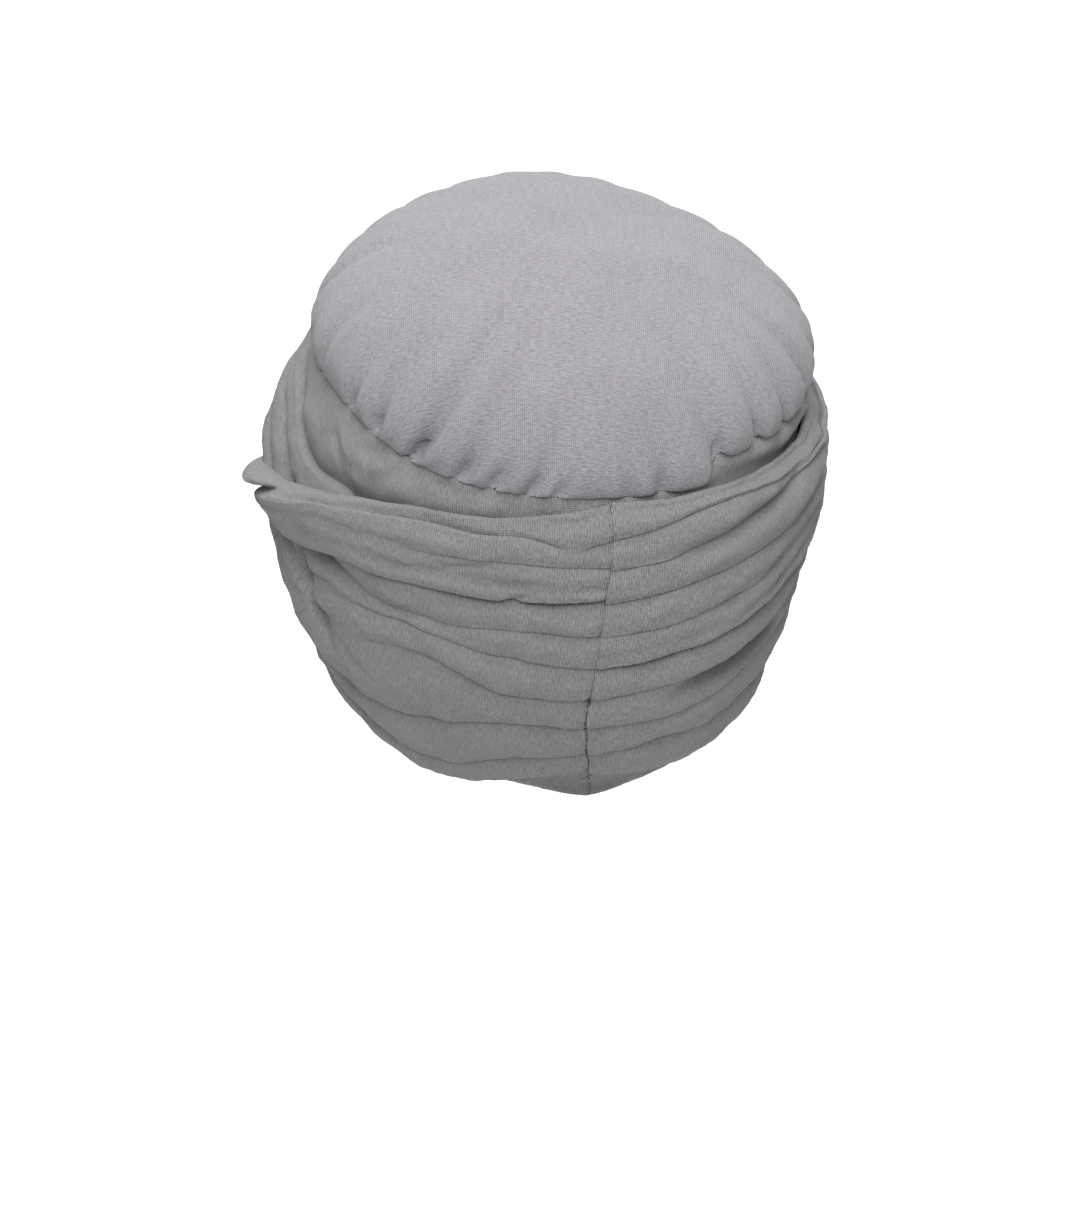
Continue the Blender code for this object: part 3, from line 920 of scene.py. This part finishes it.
def thread_mesh(name, paths, radius, material):
    """Short threads as one mesh: a ring of points carried along each path of points."""
    sides = 6
    turn = np.linspace(0, 2 * math.pi, sides, endpoint=False)
    points = []
    faces = []
    for path in paths:
        run = np.gradient(path, axis=0)
        run /= np.linalg.norm(run, axis=1, keepdims=True)
        aside = np.cross(run, (0.31, 0.22, 0.92))
        aside /= np.linalg.norm(aside, axis=1, keepdims=True)
        over = np.cross(run, aside)
        thin = np.ones(len(path))
        thin[[0, -1]] = 0.45
        ring = (
            path[:, None]
            + radius * thin[:, None, None] * np.cos(turn)[None, :, None] * aside[:, None]
            + radius * thin[:, None, None] * np.sin(turn)[None, :, None] * over[:, None]
        )
        first = sum(len(p) for p in points)
        grid, _, _ = cloth_grid(len(path), sides, False, True)
        faces += (grid[:, ::-1] + first).tolist()
        faces.append(tuple(first + i for i in range(sides)))
        faces.append(tuple(first + (len(path) - 1) * sides + i for i in reversed(range(sides))))
        points.append(ring.reshape(-1, 3))
    mesh = bpy.data.meshes.new(name)
    mesh.from_pydata(np.vstack(points).tolist(), [], faces)
    mesh.materials.append(material)
    mesh.shade_smooth()
    piece = bpy.data.objects.new(name, mesh)
    bpy.context.scene.collection.objects.link(piece)
    return piece


def thread_finish():
    """Dark sewing thread with a soft twist."""
    material = bpy.data.materials.new("thread")
    material.use_nodes = True
    nodes = material.node_tree.nodes
    links = material.node_tree.links
    shader = nodes["Principled BSDF"]
    shader.inputs["Roughness"].default_value = 0.7
    place = nodes.new("ShaderNodeTexCoord")
    noise = nodes.new("ShaderNodeTexNoise")
    noise.inputs["Scale"].default_value = 1800.0
    links.new(place.outputs["Object"], noise.inputs["Vector"])
    ramp = nodes.new("ShaderNodeValToRGB")
    dark = tuple(looks().thread_colour)
    ramp.color_ramp.elements[0].color = (*[c * 0.6 for c in dark], 1)
    ramp.color_ramp.elements[1].color = (*[min(1, c * 1.9) for c in dark], 1)
    links.new(noise.outputs["Fac"], ramp.inputs[0])
    links.new(ramp.outputs[0], shader.inputs["Base Color"])
    return material


def seam_stitches():
    """Paths of the stitches that close the lower back seam and the band below it. Each is a short
    bow across the seam that lies on the outermost cloth within a millimetre of it."""
    pick = np.random.default_rng(STITCH_SEED)
    height = float(ring_z(0.0) - rim_z(0.0))
    downs, outs, first_inner, _ = pass_sections(np.array([0.0]), UNDER_PASS)
    downs = downs[:first_inner, 0]
    outs = outs[:first_inner, 0]
    paths = []
    for share in np.arange(STITCH_START, STITCH_END, STITCH_PITCH / height):
        down = share * height
        near = np.abs(downs - down) < STITCH_NEAR
        on_band = share > UNDER_FOLDS["sixth"][0] + 0.01
        lift = STITCH_ON_BAND if on_band or not near.any() else outs[near].max() - STITCH_SINK
        drift = math.radians(float(smooth_curve(min(share, 1.0), SEAM_SHARES, SEAM_DRIFT)))
        q = np.linspace(-1, 1, 5)
        slant = pick.uniform(0.5, 1.1) * MM
        bow = q * pick.uniform(0.35, 0.7) * MM / MEAN_RADIUS
        angle = drift + bow + pick.normal() * 0.0008
        paths.append(on_form(angle, down + q * slant, lift - STITCH_BOW * q**2))
    return paths


def thread_ends():
    """Paths of the two loose thread ends, at the top of the seam and at its foot."""
    height = float(ring_z(0.0) - rim_z(0.0))
    q = np.linspace(0, 1, 9)
    turn = 0.004 - 0.012 * q + 0.012 * q**2
    top = on_form(turn, (0.020 - 0.030 * q) * height, (7.0 + 0.8 * q) * MM)
    turn = math.radians(0.6) + 0.035 * q + 0.012 * q**2
    foot = on_form(turn, (0.885 + 0.028 * q) * height, (6.6 - 1.2 * q) * MM)
    return [top, foot]


def aim_matrix(eye, aim):
    """A matrix that looks from eye to aim with +Z up."""
    back = (Vector(eye) - Vector(aim)).normalized()
    side = Vector((0, 0, 1)).cross(back).normalized()
    up = back.cross(side)
    turn = Matrix((side, up, back)).transposed()
    return Matrix.Translation(Vector(eye)) @ turn.to_4x4()


def softbox(name, eye, aim, size, power):
    """A square area light that looks from eye to aim"""
    light = bpy.data.lights.new(name, "AREA")
    light.shape = "SQUARE"
    light.size = size
    light.energy = power
    lamp = bpy.data.objects.new(name, light)
    lamp.matrix_world = aim_matrix(eye, aim)
    bpy.context.scene.collection.objects.link(lamp)


class HeadwrapPiece:
    """What all operators that build a piece share"""

    bl_options = {"REGISTER", "UNDO"}


class HEADWRAP_OT_crown(HeadwrapPiece, bpy.types.Operator):
    """Build the gathered crown"""

    bl_idname = "headwrap.crown"
    bl_label = "Crown"

    def execute(self, context):
        piece = make_crown()
        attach(piece, "root")
        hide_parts("crown")
        return {"FINISHED"}


class HEADWRAP_OT_band(HeadwrapPiece, bpy.types.Operator):
    """Build the plain side band"""

    bl_idname = "headwrap.band"
    bl_label = "Side band"

    def execute(self, context):
        piece = make_band()
        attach(piece, "root")
        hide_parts("side_band")
        return {"FINISHED"}


class HEADWRAP_OT_under(HeadwrapPiece, bpy.types.Operator):
    """Build the pass of the strip that runs under the crossing"""

    bl_idname = "headwrap.under"
    bl_label = "Under pass"

    def execute(self, context):
        piece = make_pass("under_cloth", UNDER_PASS)
        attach(piece, "root")
        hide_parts("wrap_under")
        return {"FINISHED"}


class HEADWRAP_OT_over(HeadwrapPiece, bpy.types.Operator):
    """Build the pass of the strip that runs over the crossing"""

    bl_idname = "headwrap.over"
    bl_label = "Over pass"

    def execute(self, context):
        piece = make_pass("over_cloth", OVER_PASS)
        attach(piece, "root")
        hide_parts("wrap_over")
        return {"FINISHED"}


class HEADWRAP_OT_stitches(HeadwrapPiece, bpy.types.Operator):
    """Build the back seam's stitches"""

    bl_idname = "headwrap.stitches"
    bl_label = "Seam stitches"

    def execute(self, context):
        paths = seam_stitches() + thread_ends()
        piece = thread_mesh("seam_stitches", paths, THREAD_RADIUS, thread_finish())
        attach(piece, "root")
        return {"FINISHED"}


class HEADWRAP_OT_stage(bpy.types.Operator):
    """Build the floor, the lights and the camera"""

    bl_idname = "headwrap.stage"
    bl_label = "Floor, lights and camera"

    def execute(self, context):
        scene = context.scene
        sizes = scene.headwrap_stage
        bpy.ops.mesh.primitive_plane_add(size=FLOOR_SIZE, location=(0, 0, -sizes.floor_drop))
        floor = context.object
        floor.name = "floor"
        white = bpy.data.materials.new("floor")
        white.use_nodes = True
        shader = white.node_tree.nodes["Principled BSDF"]
        shader.inputs["Base Color"].default_value = (*looks().floor_colour, 1)
        shader.inputs["Roughness"].default_value = 1.0
        floor.data.materials.append(white)

        sky = bpy.data.worlds.new("studio")
        sky.use_nodes = True
        glow = sky.node_tree.nodes["Background"]
        glow.inputs["Color"].default_value = (1, 1, 1, 1)
        glow.inputs["Strength"].default_value = SKY_LIGHT
        scene.world = sky
        scene.view_settings.view_transform = "Standard"
        for name, row in LIGHTS.items():
            softbox(name, **dict(zip(LIGHT_COLUMNS, row)))

        lens = bpy.data.cameras.new("photo_view")
        lens.lens = sizes.lens
        lens.sensor_width = 36.0
        lens.clip_end = 20.0
        camera = bpy.data.objects.new("photo_view", lens)
        scene.collection.objects.link(camera)
        aim = Vector(VIEW_AIM)
        away = Vector((-math.sin(VIEW_SWING), -math.cos(VIEW_SWING), math.tan(VIEW_RISE)))
        away.normalize()
        camera.matrix_world = aim_matrix(aim + away * sizes.distance, aim)
        scene.camera = camera
        return {"FINISHED"}


class HEADWRAP_PT_panel(bpy.types.Panel):
    """Buttons that build the pieces, and their sizes"""

    bl_label = "Turban headwrap"
    bl_space_type = "VIEW_3D"
    bl_region_type = "UI"
    bl_category = "Headwrap"

    def draw(self, context):
        for operator in OPERATORS:
            self.layout.operator(operator.bl_idname)
        for group in SETTINGS:
            settings = getattr(context.scene, group)
            for name in settings.bl_rna.properties.keys():
                if name not in {"rna_type", "name"}:
                    self.layout.prop(settings, name)


OPERATORS = (
    HEADWRAP_OT_stage,
    HEADWRAP_OT_crown,
    HEADWRAP_OT_band,
    HEADWRAP_OT_under,
    HEADWRAP_OT_over,
    HEADWRAP_OT_stitches,
)
SETTINGS = {
    "headwrap_form": HeadFormSizes,
    "headwrap_cloth": ClothSizes,
    "headwrap_looks": ClothLooks,
    "headwrap_stage": StageSizes,
}


def register():
    """Adds the settings, the operators and the panel"""
    for name, group in SETTINGS.items():
        bpy.utils.register_class(group)
        setattr(bpy.types.Scene, name, bpy.props.PointerProperty(type=group))
    for operator in OPERATORS:
        bpy.utils.register_class(operator)
    bpy.utils.register_class(HEADWRAP_PT_panel)


def unregister():
    """Takes the panel, the operators and the settings out again"""
    bpy.utils.unregister_class(HEADWRAP_PT_panel)
    for operator in reversed(OPERATORS):
        bpy.utils.unregister_class(operator)
    for name, group in SETTINGS.items():
        delattr(bpy.types.Scene, name)
        bpy.utils.unregister_class(group)


def main():
    """Builds the scene with the operators"""
    register()
    for operator in OPERATORS:
        group, name = operator.bl_idname.split(".")
        getattr(getattr(bpy.ops, group), name)()


if __name__ == "__main__":
    main()
